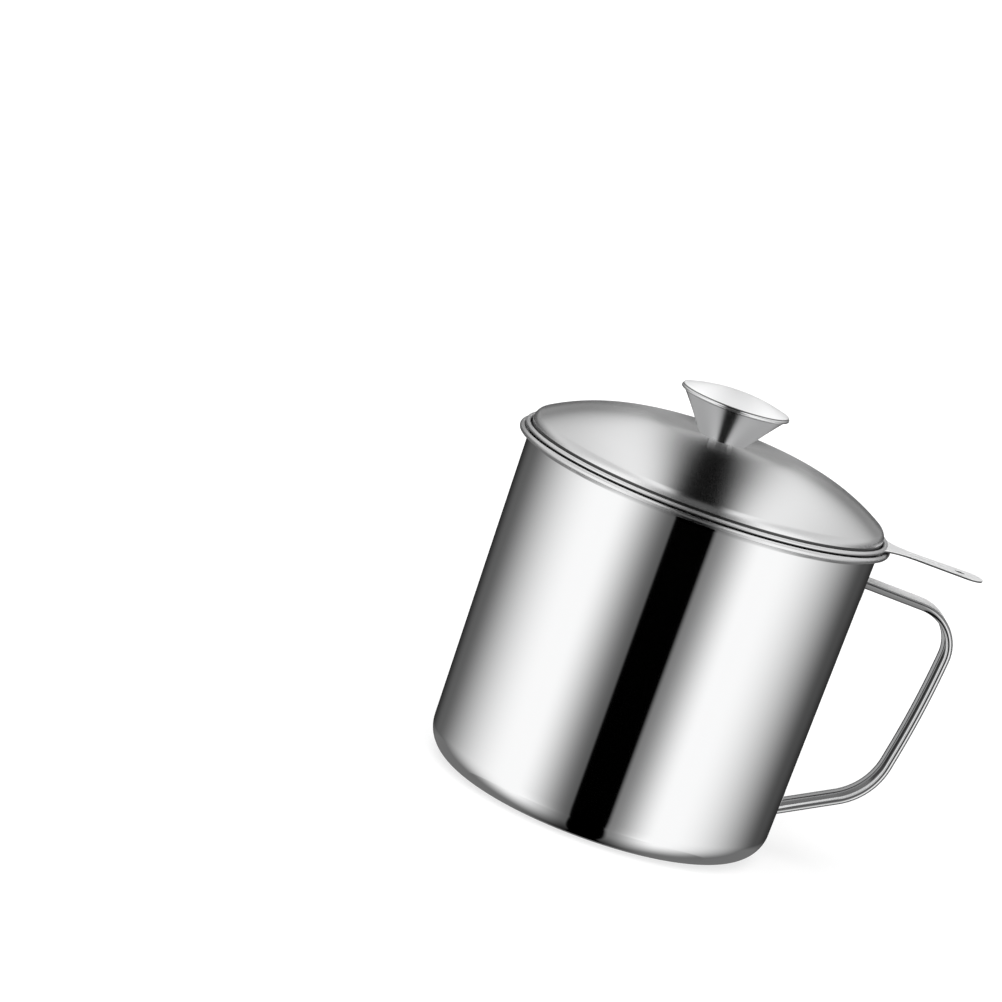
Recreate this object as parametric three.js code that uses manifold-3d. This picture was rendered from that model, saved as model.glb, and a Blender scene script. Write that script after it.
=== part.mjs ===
// Stainless steel container for bacon grease: a deep-drawn cup with a strap handle, a lift-out
// strainer with its own flat handle, and a domed lid with a cone-shaped knob.
// Millimetres, +Z up. The origin is the middle of the base, and the cup's handle points along +X.
import * as THREE from 'three';
import { mergeVertices } from 'three/addons/utils/BufferGeometryUtils.js';
import Module from 'manifold-3d';

const wasm = await Module();
wasm.setup();

// Driving dimensions
const fitGap = 0.3;
const cutOverrun = 2;
const roundFacets = 60;
const knobFacets = 40;
const screwFacets = 24;

// Cup
const mouthRadius = 60;
const wallDraft = 1.6;
const cupSheet = 0.6;
const cornerRadius = 10;
const rimHeight = 112.35;
const rimBead = 1;
const rimOverhang = 2.6;
const flareHeight = 5.95;

// Cup handle: a strap with rolled edges, given by how far the corners of its outer face stand
// out from the cup's mouth, and by their heights
const strapWidth = 12;
const strapSheet = 0.7;
const strapBead = 1.25;
const strapCurl = 120;
const strapDrop = 12.9;
const strapTopFall = 1.6;
const strapStandTop = 35.9;
const strapStandMiddle = 33.15;
const strapStandLow = 27.2;
const strapEndHeight = 15.9;
const strapMiddleShare = 0.572;
const strapLowShare = 0.181;
const topBend = 15;
const middleBend = 330;
const lowBend = 24;
const strapSteps = 40;
const footLength = 7.5;

// Strainer
const frameSheet = 0.5;
const strainerBead = 0.85;
const ledgeDrop = 0.15;
const bowlClearance = 0.7;
const strainerDepth = 23.2;
const bowlTaper = 3.2;
const floorLip = 4;
const strainerTurn = -8;

// Strainer's strip handle
const stripLength = 34.7;
const stripSheet = 0.8;
const stripRootWidth = 8.6;
const stripEndWidth = 10.4;
const stripRootShare = 0.24;
const stripFillet = 10;
const hangHole = 3.4;
const hangHoleInset = 7.9;
const grooveWidth = 2.2;
const grooveDepth = 0.3;
const grooveLength = 13;
const grooveInset = 12.7;

// Mesh floor and the ring that crimps it
const meshSheet = 0.6;
const meshPitch = 8;
const meshWire = 1.6;
const meshBorder = 1.2;
const clampSheet = 0.5;
const clampUpstand = 3.2;

// Lid
const lidOverhang = 0.2;
const lidClearance = 0.3;
const lidSheet = 0.6;
const lidSkirt = 2.03;
const lidFlat = 22;
const lidDome = 70;
const lidShoulder = 3.5;

// Knob and its fastening
const coneSheet = 0.5;
const coneFoot = 8.5;
const coneFootEdge = 0.7;
const coneTop = 17.3;
const coneHeight = 12.9;
const capSheet = 0.5;
const capOverhang = 1.1;
const capSkirt = 1.3;
const capLift = 0.5;
const capDome = 2.9;
const screwRadius = 2;
const headRadius = 4;
const headHeight = 2.4;
const headRound = 1.2;
const recessLength = 4.2;
const recessWidth = 0.9;
const recessDepth = 1.2;
const washerRadius = 5.5;
const washerSheet = 0.8;
const nutAcrossFlats = 7;
const nutHeight = 3.2;
const screwEnd = 1;

// Finishes
const polishedSteel = () => new THREE.MeshStandardMaterial({
  color: 0xd4d6d8, metalness: 1, roughness: 0.12,
});
const strainerSteel = () => new THREE.MeshStandardMaterial({
  color: 0xcfd1d3, metalness: 1, roughness: 0.2,
});
const fastenerSteel = () => new THREE.MeshStandardMaterial({
  color: 0xbfc1c3, metalness: 1, roughness: 0.35,
});

// A closed surface as a solid: corners shared, flat slivers on the axis left out
function solidFrom(geometry) {
  geometry.deleteAttribute('normal');
  geometry.deleteAttribute('uv');
  const merged = mergeVertices(geometry);
  const corners = merged.index.array;
  const kept = [];
  for (let i = 0; i < corners.length; i += 3) {
    const [a, b, c] = [corners[i], corners[i + 1], corners[i + 2]];
    if (a !== b && b !== c && c !== a) kept.push(a, b, c);
  }
  return new wasm.Manifold(new wasm.Mesh({
    numProp: 3,
    vertProperties: new Float32Array(merged.attributes.position.array),
    triVerts: new Uint32Array(kept),
  }));
}

// A solid as a named mesh
function meshFrom(name, solid, material) {
  const { vertProperties, triVerts } = solid.getMesh();
  const geometry = new THREE.BufferGeometry();
  geometry.setAttribute('position', new THREE.BufferAttribute(new Float32Array(vertProperties), 3));
  geometry.setIndex(new THREE.BufferAttribute(new Uint32Array(triVerts), 1));
  geometry.computeVertexNormals();
  const mesh = new THREE.Mesh(geometry, material);
  mesh.name = name;
  return mesh;
}

// A profile of [radius, height] points, turned about the Z axis
function turned(profile, facets) {
  const points = profile.map(([radius, height]) => new THREE.Vector2(radius, height));
  return solidFrom(new THREE.LatheGeometry(points, facets).rotateX(Math.PI / 2));
}

// A closed turned profile that keeps clear of the axis
function turnedRing(profile, facets) {
  return turned([...profile, profile[0]], facets);
}

// A flat shape raised from one height by a thickness
function raised(shape, bottom, thickness, curveSegments = 10) {
  const geometry = new THREE.ExtrudeGeometry(shape, {
    depth: thickness, bevelEnabled: false, curveSegments,
  });
  return solidFrom(geometry.translate(0, 0, bottom));
}

// A box between two corners
function block(low, high) {
  const size = high.map((value, axis) => value - low[axis]);
  const middle = high.map((value, axis) => (value + low[axis]) / 2);
  return solidFrom(new THREE.BoxGeometry(...size).translate(...middle));
}

// Points on an arc from one angle to another, in degrees
function arc(radius, height, size, from, to, steps) {
  return Array.from({ length: steps + 1 }, (_, i) => {
    const angle = THREE.MathUtils.degToRad(from + (to - from) * i / steps);
    return [radius + size * Math.cos(angle), height + size * Math.sin(angle)];
  });
}

// Points on a curve between two points that is drawn towards a third
function drawn(from, pull, to, steps) {
  const curve = new THREE.QuadraticBezierCurve(
    new THREE.Vector2(...from), new THREE.Vector2(...pull), new THREE.Vector2(...to));
  return curve.getPoints(steps).map((point) => [point.x, point.y]);
}

// Cup: the wall leans in a little towards the base, and the mouth flares into a rolled bead
const baseRadius = mouthRadius - wallDraft;
const flareStart = rimHeight - flareHeight;
const rimRadius = mouthRadius + rimOverhang;
const rimCentre = rimHeight - rimBead;

function wallRadius(height) {
  return baseRadius + wallDraft * (height - cornerRadius) / (flareStart - cornerRadius);
}

function cupShell() {
  const cornerSteps = 6;
  const innerCorner = cornerRadius - cupSheet;
  const beadArc = arc(rimRadius, rimCentre, rimBead, -135, 180, 9);
  const beadStart = beadArc[0];
  const beadEnd = beadArc[beadArc.length - 1];
  const outerPull = [mouthRadius, flareStart + (beadStart[1] - flareStart) / 2];
  const innerPull = [mouthRadius - cupSheet, flareStart + (beadEnd[1] - flareStart) / 2];
  return turned([
    [0, 0],
    ...arc(baseRadius - cornerRadius, cornerRadius, cornerRadius, -90, 0, cornerSteps),
    ...drawn([mouthRadius, flareStart], outerPull, beadStart, 3),
    ...beadArc.slice(1),
    ...drawn(beadEnd, innerPull, [mouthRadius - cupSheet, flareStart], 3).slice(1),
    ...arc(baseRadius - cornerRadius, cornerRadius, innerCorner, 0, -90, cornerSteps),
    [0, cupSheet],
  ], roundFacets);
}

// Cup handle: the route of the strap's outer face, straight runs joined by bends
class StrapRoute extends THREE.Curve {
  constructor(corners, bends) {
    super();
    this.pieces = new THREE.CurvePath();
    let start = corners[0];
    for (let i = 1; i < corners.length - 1; i += 1) {
      const back = corners[i - 1].clone().sub(corners[i]).normalize();
      const ahead = corners[i + 1].clone().sub(corners[i]).normalize();
      const half = back.angleTo(ahead) / 2;
      const room = Math.min(corners[i].distanceTo(corners[i - 1]), corners[i].distanceTo(corners[i + 1]));
      const reach = Math.min(bends[i - 1] / Math.tan(half), room / 2);
      const enter = corners[i].clone().addScaledVector(back, reach);
      const leave = corners[i].clone().addScaledVector(ahead, reach);
      const towards = back.clone().add(ahead).normalize();
      const centre = corners[i].clone().addScaledVector(towards, reach / Math.cos(half));
      this.pieces.add(new THREE.LineCurve3(start, enter));
      this.pieces.add(new StrapBend(centre, enter, leave));
      start = leave;
    }
    this.pieces.add(new THREE.LineCurve3(start, corners[corners.length - 1]));
  }

  getPoint(t, target = new THREE.Vector3()) {
    return target.copy(this.pieces.getPoint(Math.min(t, 1)));
  }
}

// One bend of the strap, an arc between two points round a centre
class StrapBend extends THREE.Curve {
  constructor(centre, enter, leave) {
    super();
    this.centre = centre;
    this.first = enter.clone().sub(centre);
    this.last = leave.clone().sub(centre);
    this.sweep = this.first.angleTo(this.last);
    this.axis = this.first.clone().cross(this.last).normalize();
  }

  getPoint(t, target = new THREE.Vector3()) {
    return target.copy(this.first).applyAxisAngle(this.axis, this.sweep * t).add(this.centre);
  }
}

// The strap's section: a flat web whose two edges are rolled inwards into beads
function strapSection() {
  const halfWeb = strapWidth / 2 - strapBead;
  const innerBead = strapBead - strapSheet;
  const outerSteps = 7;
  const innerSteps = 3;
  const right = [
    ...arc(halfWeb, strapBead, strapBead, -90, strapCurl, outerSteps),
    ...arc(halfWeb, strapBead, innerBead, strapCurl, -90, innerSteps),
  ];
  const left = right.map(([across, depth]) => [-across, depth]).reverse();
  return new THREE.Shape([...right, ...left].map(([across, depth]) => new THREE.Vector2(across, depth)));
}

// A welding foot: a tongue of the strap's web bent along the cup's wall
function weldingFoot(low, high) {
  const halfTongue = strapWidth / 2 - strapBead * 2 - fitGap;
  const inner = (height) => wallRadius(height) + fitGap;
  const sleeve = turnedRing([
    [inner(low), low],
    [inner(low) + strapSheet, low],
    [inner(high) + strapSheet, high],
    [inner(high), high],
  ], roundFacets);
  const slice = block([0, -halfTongue, low - cutOverrun], [rimRadius, halfTongue, high + cutOverrun]);
  return sleeve.intersect(slice);
}

function handleStrap() {
  const strapTop = rimHeight - strapDrop;
  const strapSpan = strapTop - strapEndHeight;
  const strapLowHeight = strapEndHeight + strapSpan * strapLowShare;
  const fall = strapTopFall / strapStandTop;
  const endReach = mouthRadius + strapStandLow - wallRadius(strapEndHeight);
  const rise = (strapLowHeight - strapEndHeight) / endReach;
  const corners = [
    [mouthRadius - cutOverrun, strapTop + fall * cutOverrun],
    [mouthRadius + strapStandTop, strapTop - strapTopFall],
    [mouthRadius + strapStandMiddle, strapEndHeight + strapSpan * strapMiddleShare],
    [mouthRadius + strapStandLow, strapLowHeight],
    [wallRadius(strapEndHeight) - cutOverrun, strapEndHeight - rise * cutOverrun],
  ].map(([x, z]) => new THREE.Vector3(x, 0, z));
  const route = new StrapRoute(corners, [topBend, middleBend, lowBend]);
  const strap = solidFrom(new THREE.ExtrudeGeometry(strapSection(), {
    extrudePath: route, steps: strapSteps, bevelEnabled: false,
  }));
  const cleared = turned([
    [0, 0],
    [baseRadius + fitGap, 0],
    [baseRadius + fitGap, cornerRadius],
    [mouthRadius + fitGap, flareStart],
    [0, flareStart],
  ], roundFacets);
  const topFoot = weldingFoot(strapTop - strapSheet / 2 - footLength, strapTop - strapSheet / 2);
  const footBottom = strapEndHeight + strapSheet;
  const lowFoot = weldingFoot(footBottom, footBottom + footLength);
  return strap.subtract(cleared).add(topFoot).add(lowFoot);
}

// Strainer frame: its bead rests on the cup's bead, and its ledge carries the lid
const lidRadius = mouthRadius + lidOverhang;
const stepInner = lidRadius + lidClearance;
const stepOuter = stepInner + frameSheet;
const strainerBeadRadius = stepInner + strainerBead;
const beadsApart = rimBead + strainerBead + fitGap;
const strainerBeadHeight = rimCentre + Math.sqrt(beadsApart ** 2 - (rimRadius - strainerBeadRadius) ** 2);
const ledgeHeight = rimHeight - ledgeDrop;
const ledgeUnder = ledgeHeight - frameSheet;
const bowlTop = mouthRadius - cupSheet - bowlClearance;
const floorUnder = ledgeUnder - strainerDepth;
const floorRadius = bowlTop - bowlTaper;
const lipRadius = floorRadius - floorLip;

function bowlRadius(height) {
  return floorRadius + bowlTaper * (height - floorUnder) / strainerDepth;
}

function frameRing() {
  const meet = Math.sqrt(strainerBead ** 2 - (strainerBeadRadius - stepOuter) ** 2);
  const meetAngle = THREE.MathUtils.radToDeg(Math.atan2(-meet, stepOuter - strainerBeadRadius));
  return turnedRing([
    [lipRadius, floorUnder],
    [floorRadius, floorUnder],
    [bowlTop, ledgeUnder],
    [stepOuter, ledgeUnder],
    ...arc(strainerBeadRadius, strainerBeadHeight, strainerBead, meetAngle, 180, 8),
    [stepInner, ledgeHeight],
    [bowlTop - frameSheet, ledgeHeight],
    [floorRadius - frameSheet, floorUnder + frameSheet],
    [lipRadius, floorUnder + frameSheet],
  ], roundFacets);
}

// The strip handle in plan: it flares into the bead with fillets and ends in a round tip
const stripReach = mouthRadius + stripLength;

function stripPlan() {
  const rootHalf = stripRootWidth / 2;
  const endHalf = stripEndWidth / 2;
  const spread = strainerBeadRadius * stripRootShare;
  const rootDepth = Math.sqrt(strainerBeadRadius ** 2 - spread ** 2);
  const filletStart = strainerBeadRadius + strainerBead;
  const plan = new THREE.Shape();
  plan.moveTo(rootDepth, -spread);
  plan.quadraticCurveTo(filletStart, -rootHalf, filletStart + stripFillet, -rootHalf);
  plan.lineTo(stripReach - endHalf, -endHalf);
  plan.absarc(stripReach - endHalf, 0, endHalf, -Math.PI / 2, Math.PI / 2, false);
  plan.lineTo(filletStart + stripFillet, rootHalf);
  plan.quadraticCurveTo(filletStart, rootHalf, rootDepth, spread);
  plan.absarc(0, 0, strainerBeadRadius, Math.asin(stripRootShare), -Math.asin(stripRootShare), true);
  const hole = new THREE.Path();
  hole.absarc(stripReach - hangHoleInset, 0, hangHole / 2, 0, Math.PI * 2, true);
  plan.holes.push(hole);
  return plan;
}

function groovePlan() {
  const half = grooveWidth / 2;
  const grooveEnd = stripReach - grooveInset;
  const plan = new THREE.Shape();
  plan.absarc(grooveEnd - grooveLength + half, 0, half, Math.PI / 2, Math.PI * 3 / 2, false);
  plan.absarc(grooveEnd - half, 0, half, -Math.PI / 2, Math.PI / 2, false);
  return plan;
}

function strainerFrame() {
  const stripBottom = rimHeight + fitGap;
  const stripTop = stripBottom + stripSheet;
  const strip = raised(stripPlan(), stripBottom, stripSheet, 8);
  const groove = raised(groovePlan(), stripTop - grooveDepth, grooveDepth + cutOverrun, 4);
  return frameRing().add(strip.subtract(groove));
}

// Mesh floor: a round net with a solid border, held under the frame's lip
const meshTop = floorUnder - fitGap;
const meshUnder = meshTop - meshSheet;

function strainerMesh() {
  let net = turned([
    [0, meshUnder],
    [floorRadius, meshUnder],
    [floorRadius, meshTop],
    [0, meshTop],
  ], roundFacets);
  const halfHole = (meshPitch - meshWire) / 2;
  const reach = Math.floor(lipRadius / meshPitch);
  for (let column = -reach; column <= reach; column += 1) {
    for (let row = -reach; row <= reach; row += 1) {
      const [x, y] = [column * meshPitch, row * meshPitch];
      const corner = Math.hypot(Math.abs(x) + halfHole, Math.abs(y) + halfHole);
      if (corner > lipRadius - meshBorder) continue;
      net = net.subtract(block(
        [x - halfHole, y - halfHole, meshUnder - cutOverrun],
        [x + halfHole, y + halfHole, meshTop + cutOverrun],
      ));
    }
  }
  return net;
}

function meshClampRing() {
  const clampTop = meshUnder - fitGap;
  const clampUnder = clampTop - clampSheet;
  const upstandTop = floorUnder + clampUpstand;
  const low = floorRadius + fitGap;
  const high = bowlRadius(upstandTop) + fitGap;
  return turnedRing([
    [lipRadius, clampUnder],
    [low + clampSheet, clampUnder],
    [low + clampSheet, floorUnder],
    [high + clampSheet, upstandTop],
    [high, upstandTop],
    [low, floorUnder],
    [low, clampTop],
    [lipRadius, clampTop],
  ], roundFacets);
}

// Lid: flat crown, round dome, small shoulder and a skirt that stands on the strainer's ledge
const skirtBottom = ledgeHeight + fitGap;
const shoulderHeight = skirtBottom + lidSkirt;
const shoulderRadius = lidRadius - lidShoulder;
const domeAcross = shoulderRadius - lidFlat;
const domeRise = Math.sqrt((lidDome - lidShoulder) ** 2 - domeAcross ** 2);
const domeCentre = shoulderHeight - domeRise;
const lidCrown = domeCentre + lidDome;
const lidUnder = lidCrown - lidSheet;
const holeRadius = screwRadius + fitGap;

function lidShell() {
  const tilt = THREE.MathUtils.radToDeg(Math.atan2(domeRise, domeAcross));
  const innerShoulder = lidShoulder - lidSheet;
  const innerDome = lidDome - lidSheet;
  return turnedRing([
    [lidRadius - lidSheet, skirtBottom],
    [lidRadius, skirtBottom],
    ...arc(shoulderRadius, shoulderHeight, lidShoulder, 0, tilt, 4),
    ...arc(lidFlat, domeCentre, lidDome, tilt, 90, 6).slice(1),
    [holeRadius, lidCrown],
    [holeRadius, lidUnder],
    ...arc(lidFlat, domeCentre, innerDome, 90, tilt, 6),
    ...arc(shoulderRadius, shoulderHeight, innerShoulder, tilt, 0, 4).slice(1),
  ], roundFacets);
}

// Knob: a hollow cone standing on the lid, closed by a domed cap crimped over its edge
const coneUnder = lidCrown + fitGap;
const coneEdgeHeight = coneUnder + coneHeight;

function coneRadius(height) {
  return coneFoot + (coneTop - coneFoot) * (height - coneUnder) / coneHeight;
}

function knobCone() {
  const inside = coneUnder + coneSheet;
  const slant = Math.hypot(coneTop - coneFoot, coneHeight) / coneHeight * coneSheet;
  return turnedRing([
    [holeRadius, coneUnder],
    [coneFoot - coneFootEdge, coneUnder],
    [coneRadius(coneUnder + coneFootEdge), coneUnder + coneFootEdge],
    [coneTop, coneEdgeHeight],
    [coneTop - slant, coneEdgeHeight],
    [coneRadius(inside) - slant, inside],
    [holeRadius, inside],
  ], knobFacets);
}

function knobCap() {
  const capRadius = coneTop + capOverhang;
  const edge = coneEdgeHeight + capLift;
  const skirtEnd = edge - capSkirt;
  const skirtRadius = coneRadius(skirtEnd) + fitGap;
  const domeRadius = (capRadius ** 2 + capDome ** 2) / (2 * capDome);
  const centre = edge + capDome - domeRadius;
  const edgeAngle = THREE.MathUtils.radToDeg(Math.acos(capRadius / domeRadius));
  const innerRadius = capRadius - capSheet;
  const innerAngle = THREE.MathUtils.radToDeg(Math.acos(innerRadius / (domeRadius - capSheet)));
  return turned([
    ...arc(0, centre, domeRadius - capSheet, 90, innerAngle, 5),
    [skirtRadius, skirtEnd],
    [skirtRadius + capSheet, skirtEnd],
    ...arc(0, centre, domeRadius, edgeAngle, 90, 5),
  ], knobFacets);
}

// Fastening: a pan-head screw under the lid, its washer, and a nut inside the cone
function knobNut() {
  const plan = new THREE.Shape();
  const corner = nutAcrossFlats / 2 / Math.cos(Math.PI / 6);
  plan.setFromPoints(Array.from({ length: 6 }, (_, i) => {
    const angle = i * Math.PI / 3;
    return new THREE.Vector2(corner * Math.cos(angle), corner * Math.sin(angle));
  }));
  const bore = new THREE.Path();
  bore.absarc(0, 0, holeRadius, 0, Math.PI * 2, true);
  plan.holes.push(bore);
  return raised(plan, coneUnder + coneSheet + fitGap, nutHeight, screwFacets / 2);
}

const washerTop = lidUnder - fitGap;
const washerUnder = washerTop - washerSheet;

function screwWasher() {
  return turnedRing([
    [holeRadius, washerUnder],
    [washerRadius, washerUnder],
    [washerRadius, washerTop],
    [holeRadius, washerTop],
  ], screwFacets);
}

function knobScrew() {
  const seat = washerUnder - fitGap;
  const headUnder = seat - headHeight;
  const end = coneUnder + coneSheet + fitGap + nutHeight + screwEnd;
  const screw = turned([
    [0, headUnder],
    ...arc(headRadius - headRound, headUnder + headRound, headRound, -90, 0, 3),
    [headRadius, seat],
    [screwRadius, seat],
    [screwRadius, end],
    [0, end],
  ], screwFacets);
  const halfLength = recessLength / 2;
  const halfWidth = recessWidth / 2;
  const bottom = headUnder - cutOverrun;
  const top = headUnder + recessDepth;
  const slot = block([-halfLength, -halfWidth, bottom], [halfLength, halfWidth, top]);
  const crossSlot = block([-halfWidth, -halfLength, bottom], [halfWidth, halfLength, top]);
  return screw.subtract(slot.add(crossSlot));
}

// The cup stands still, the strainer hangs in it, and the lid stands in the strainer
const cup = new THREE.Group();
cup.add(meshFrom('cup_shell', cupShell(), polishedSteel()));
cup.add(meshFrom('handle_strap', handleStrap(), polishedSteel()));

const strainer = new THREE.Group();
strainer.rotation.z = THREE.MathUtils.degToRad(strainerTurn);
strainer.add(meshFrom('strainer_frame', strainerFrame(), strainerSteel()));
strainer.add(meshFrom('strainer_mesh', strainerMesh(), strainerSteel()));
strainer.add(meshFrom('mesh_clamp_ring', meshClampRing(), strainerSteel()));

const lid = new THREE.Group();
lid.add(meshFrom('lid_shell', lidShell(), polishedSteel()));
lid.add(meshFrom('knob_cone', knobCone(), polishedSteel()));
lid.add(meshFrom('knob_cap', knobCap(), polishedSteel()));
lid.add(meshFrom('knob_nut', knobNut(), fastenerSteel()));
lid.add(meshFrom('screw_washer', screwWasher(), fastenerSteel()));
lid.add(meshFrom('knob_screw', knobScrew(), fastenerSteel()));

const container = new THREE.Group();
container.add(cup, strainer, lid);

export default container;
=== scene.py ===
import bpy
import math
from mathutils import Matrix, Vector
from mathutils.geometry import tessellate_polygon


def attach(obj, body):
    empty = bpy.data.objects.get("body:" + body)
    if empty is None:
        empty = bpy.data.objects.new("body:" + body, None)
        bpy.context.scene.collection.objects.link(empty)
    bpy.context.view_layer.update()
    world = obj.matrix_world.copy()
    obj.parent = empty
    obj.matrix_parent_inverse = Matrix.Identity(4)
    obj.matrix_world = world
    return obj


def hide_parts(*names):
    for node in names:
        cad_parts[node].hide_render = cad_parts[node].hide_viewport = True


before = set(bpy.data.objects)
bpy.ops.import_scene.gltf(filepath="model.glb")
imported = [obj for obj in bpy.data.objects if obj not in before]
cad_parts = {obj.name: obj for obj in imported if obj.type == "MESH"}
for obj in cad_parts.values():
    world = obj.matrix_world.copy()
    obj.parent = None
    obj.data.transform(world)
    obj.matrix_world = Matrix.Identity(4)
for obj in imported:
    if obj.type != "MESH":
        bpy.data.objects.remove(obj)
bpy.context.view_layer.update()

# Camera: a long lens a little above the rim, tipped on its side, so that the container leans in
# the picture as it does in the photograph. The cup's handle points along +X.
LENS = 136.74
CAMERA_PLACE = (-0.16982, -1.20835, 0.32122)
cam_data = bpy.data.cameras.new("camera")
cam_data.lens = LENS
cam_data.sensor_width = 36
cam_data.clip_end = 60
camera = bpy.data.objects.new("camera", cam_data)
bpy.context.collection.objects.link(camera)
cam_right = Vector((0.94542, -0.02152, 0.32515))
cam_up = Vector((-0.31380, 0.20878, 0.92625))
cam_back = cam_right.cross(cam_up)
camera_axes = Matrix((cam_right, cam_up, cam_back)).transposed().to_4x4()
camera.matrix_world = Matrix.Translation(CAMERA_PLACE) @ camera_axes
bpy.context.scene.camera = camera
bpy.context.scene.view_settings.view_transform = "Standard"


# Studio: a plain white floor that keeps the container's shadow, a white surround, a soft lamp
# overhead, and a big light tent: two tall panels with a dark gap between them at the front, and
# a ceiling of two panels with a narrow gap that runs from front to back. Wall stops are (angle
# from the front, light), and ceiling stops are (distance from the gap in ceiling heights, light).
FRONT_TURN = math.radians(-8)
TENT_RADIUS = 60
TENT_TOP = 4.5
TENT_FOOT = -60
TENT_STEPS = 96
FLOOR_RADIUS = 12
FLOOR_STEPS = 64
WALL_STOPS = [(-180, 0.03), (-165, 0.03), (-140, 0.11), (-60, 0.99), (-50, 0.99), (-10.5, 0.1), (-9.8, 0),
              (15.2, 0), (15.7, 0.2), (48, 0.99), (58, 0.99), (142, 0.07), (165, 0.03), (180, 0.03)]
OVERHEAD_STOPS = [(0, 0), (0.08, 0), (0.26, 0.92), (0.3, 0.92), (0.75, 0.58), (2, 0.64), (8, 0.7)]
BEHIND_STOPS = [(0, 0), (0.08, 0), (0.2, 0.76), (0.45, 0.26), (0.8, 0.2), (2, 0.31), (8, 0.39)]
GAP_SPREAD = 0.17
GAP_GLOW = 0.1


def stage_mesh(name, verts, faces):
    mesh = bpy.data.meshes.new(name)
    mesh.from_pydata(verts, [], faces)
    piece = bpy.data.objects.new(name, mesh)
    bpy.context.collection.objects.link(piece)
    return piece


def circle(radius, height, steps):
    angles = [2 * math.pi * i / steps for i in range(steps)]
    return [(radius * math.cos(a), radius * math.sin(a), height) for a in angles]


def new_material(name):
    material = bpy.data.materials.new(name)
    material.use_nodes = True
    material.node_tree.nodes.clear()
    return material, material.node_tree.nodes, material.node_tree.links


def math_node(nodes, links, operation, *values):
    node = nodes.new("ShaderNodeMath")
    node.operation = operation
    for socket, value in zip(node.inputs, values):
        if isinstance(value, (int, float)):
            socket.default_value = value
        else:
            links.new(value, socket)
    return node.outputs[0]


def seen_rays(nodes, links):
    """1 for the rays that show a background to the lens or in the steel, and 0 for the others."""
    path = nodes.new("ShaderNodeLightPath")
    seen = math_node(nodes, links, "MAXIMUM", path.outputs["Is Camera Ray"], path.outputs["Is Glossy Ray"])
    return math_node(nodes, links, "MAXIMUM", seen, path.outputs["Is Transmission Ray"])


def ramp_node(nodes, stops, low, high):
    ramp = nodes.new("ShaderNodeValToRGB")
    ramp.color_ramp.interpolation = "EASE"
    elements = ramp.color_ramp.elements
    while len(elements) > 1:
        elements.remove(elements[0])
    for i, (place, level) in enumerate(stops):
        share = (place - low) / (high - low)
        element = elements[0] if i == 0 else elements.new(share)
        element.position = share
        element.color = (level, level, level, 1)
    return ramp


# The floor shows white to the lens and takes the container's soft shadow
FLOOR_COLOUR = 0.35
FLOOR_GLOW_NEAR = (0.2, 0.7)
FLOOR_GLOW_FAR = (1.2, 1)
floor = stage_mesh("floor", circle(FLOOR_RADIUS, 0, FLOOR_STEPS), [list(range(FLOOR_STEPS))])
material, nodes, links = new_material("white_floor")
output = nodes.new("ShaderNodeOutputMaterial")
matte = nodes.new("ShaderNodeBsdfDiffuse")
matte.inputs["Color"].default_value = (FLOOR_COLOUR, FLOOR_COLOUR, FLOOR_COLOUR, 1)
glow = nodes.new("ShaderNodeEmission")
seen = seen_rays(nodes, links)
place = nodes.new("ShaderNodeTexCoord")
reach = nodes.new("ShaderNodeVectorMath")
reach.operation = "LENGTH"
links.new(place.outputs["Object"], reach.inputs[0])
white = nodes.new("ShaderNodeMapRange")
white.inputs["From Min"].default_value, white.inputs["To Min"].default_value = FLOOR_GLOW_NEAR
white.inputs["From Max"].default_value, white.inputs["To Max"].default_value = FLOOR_GLOW_FAR
links.new(reach.outputs["Value"], white.inputs["Value"])
links.new(math_node(nodes, links, "MULTIPLY", seen, white.outputs[0]), glow.inputs["Strength"])
both = nodes.new("ShaderNodeAddShader")
links.new(matte.outputs[0], both.inputs[0])
links.new(glow.outputs[0], both.inputs[1])
links.new(both.outputs[0], output.inputs["Surface"])
floor.data.materials.append(material)
floor.visible_glossy = False

# The tent's wall and its foot, lit by angle round the container, and greyer straight below it
FOOT_EYE = 29.5
FOOT_SLANT = -0.62
FOOT_LEAST = 16
LOW_WALL_DEPTH = TENT_RADIUS * -0.3
LOW_WALL_SPREAD = -1.11
FOOT_FADE = 0.84
LOW_BEHIND = 0.16
low_ring, high_ring = (circle(TENT_RADIUS, height, TENT_STEPS) for height in (TENT_FOOT, TENT_TOP))
wall_faces = [(i, (i + 1) % TENT_STEPS, TENT_STEPS + (i + 1) % TENT_STEPS, TENT_STEPS + i)
              for i in range(TENT_STEPS)]
wall = stage_mesh("tent_wall", low_ring + high_ring, wall_faces + [tuple(range(TENT_STEPS))])
wall.rotation_euler.z = FRONT_TURN
material, nodes, links = new_material("tent_wall_light")
output = nodes.new("ShaderNodeOutputMaterial")
glow = nodes.new("ShaderNodeEmission")
place = nodes.new("ShaderNodeTexCoord")
split = nodes.new("ShaderNodeSeparateXYZ")
links.new(place.outputs["Object"], split.inputs[0])


def smooth_rise(value, start, end, first=0, last=1):
    """A level that goes smoothly from first to last between two values."""
    rise = nodes.new("ShaderNodeMapRange")
    rise.interpolation_type = "SMOOTHSTEP"
    for socket, number in (("From Min", start), ("From Max", end), ("To Min", first), ("To Max", last)):
        rise.inputs[socket].default_value = number
    links.new(value, rise.inputs["Value"])
    return rise.outputs[0]


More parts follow.
